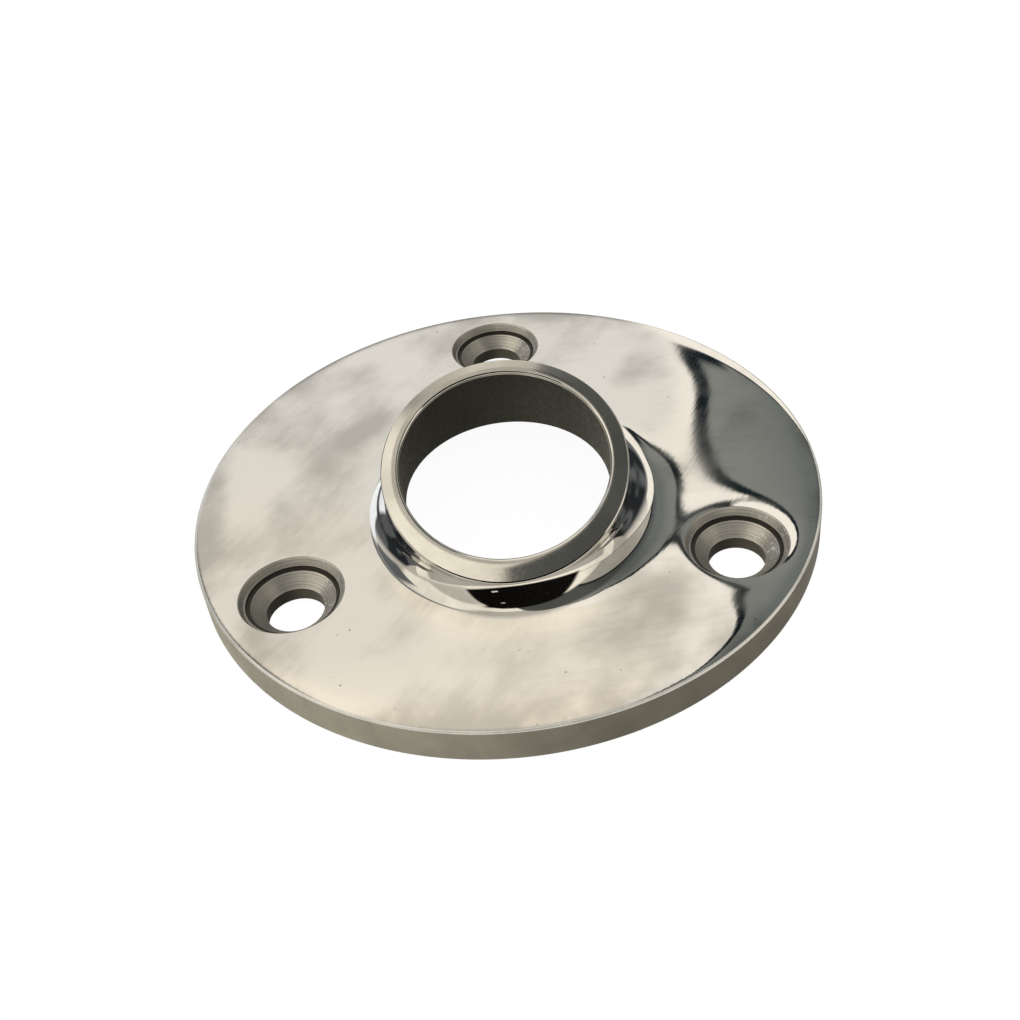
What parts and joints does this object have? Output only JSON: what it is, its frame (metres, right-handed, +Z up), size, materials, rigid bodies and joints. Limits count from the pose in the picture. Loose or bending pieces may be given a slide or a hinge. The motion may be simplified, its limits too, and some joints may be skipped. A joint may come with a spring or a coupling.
{
  "type": "stanchion base",
  "caption": "Round polished steel stanchion base with countersunk screw holes and a short leaning socket for a 25 mm tube.",
  "frame": {"origin": "centre of the plate on its underside, where it sits on the deck", "axes": "+Z up out of the deck, -Y the way the socket leans, +X to the right seen from the -Y side"},
  "size_m": [0.078, 0.078, 0.0176],
  "materials": {
    "polished_steel": "hand polished to a mirror with faint haze, turned screw holes, satin edge",
    "satin_steel": "polished outside, brushed bevel, dull bore",
    "weld_steel": "ground and polished weld"
  },
  "bodies": {
    "root": {"base_plate": "polished_steel", "socket_collar": "satin_steel", "weld_fillet": "weld_steel"}
  },
  "joints": []
}
